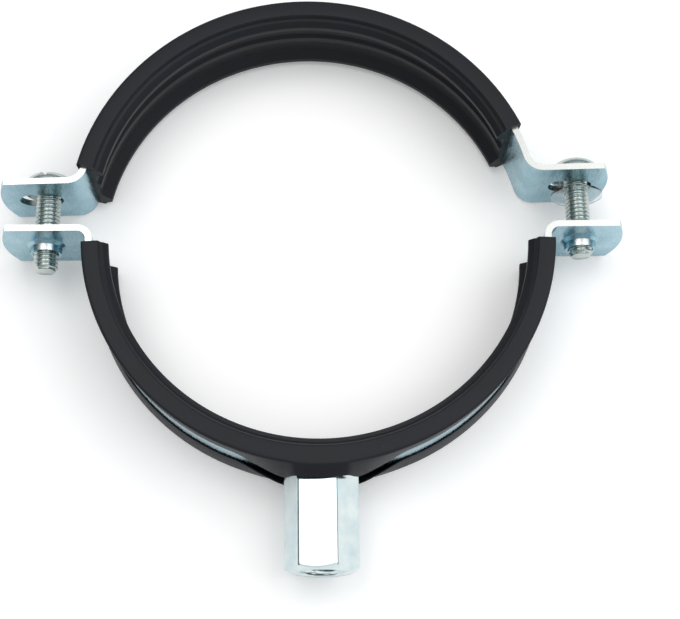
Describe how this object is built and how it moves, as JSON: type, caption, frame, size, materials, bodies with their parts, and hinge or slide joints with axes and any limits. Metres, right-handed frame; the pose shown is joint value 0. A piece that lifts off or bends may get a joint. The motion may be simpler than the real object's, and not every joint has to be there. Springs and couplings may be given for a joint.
{
  "type": "rubber lined pipe clamp",
  "caption": "Round two-screw pipe clamp: zinc-plated strap halves lined with ribbed rubber, with a coupling nut for a hanger rod.",
  "frame": {"origin": "centre of the pipe bore of the lower half, at mid-width of the strap", "axes": "+Z along the pipe, -Y towards the coupling nut, +X towards the right-hand ears; the clamp lies on its side on the liners' rims"},
  "size_m": [0.1482, 0.1379, 0.0222],
  "materials": {
    "zinc_steel": "bright zinc plating over cold rolled sheet",
    "nut_steel": "bright zinc plating over drawn hexagon bar",
    "screw_steel": "bright zinc plating",
    "liner_rubber": "satin extruded rubber",
    "clear_plastic": "translucent soft plastic"
  },
  "bodies": {
    "lower_half": {"lower_strap": "zinc_steel", "lower_liner": "liner_rubber", "coupling_nut": "nut_steel"},
    "upper_half": {"upper_strap": "zinc_steel", "upper_liner": "liner_rubber"},
    "left_screw": {"left_screw": "screw_steel"},
    "right_screw": {"right_screw": "screw_steel", "retaining_washer": "clear_plastic"}
  },
  "joints": [
    {"name": "clamp_slide", "type": "slide", "parent": "lower_half", "child": "upper_half", "axis": [0, 1, 0], "range_m": [-0.0098, 0.005]},
    {"name": "left_screw_turn", "type": "hinge", "parent": "upper_half", "child": "left_screw", "pos_m": [-0.0648, 0.0141, 0], "axis": [0, 1, 0], "continuous": true},
    {"name": "right_screw_turn", "type": "hinge", "parent": "upper_half", "child": "right_screw", "pos_m": [0.0624, 0.0168, 0], "axis": [0, 1, 0], "continuous": true}
  ],
  "couplings": [
    {"joint": "left_screw_turn", "follows": "clamp_slide", "rad_per_m": 6283.2},
    {"joint": "right_screw_turn", "follows": "clamp_slide", "rad_per_m": 6283.2}
  ]
}
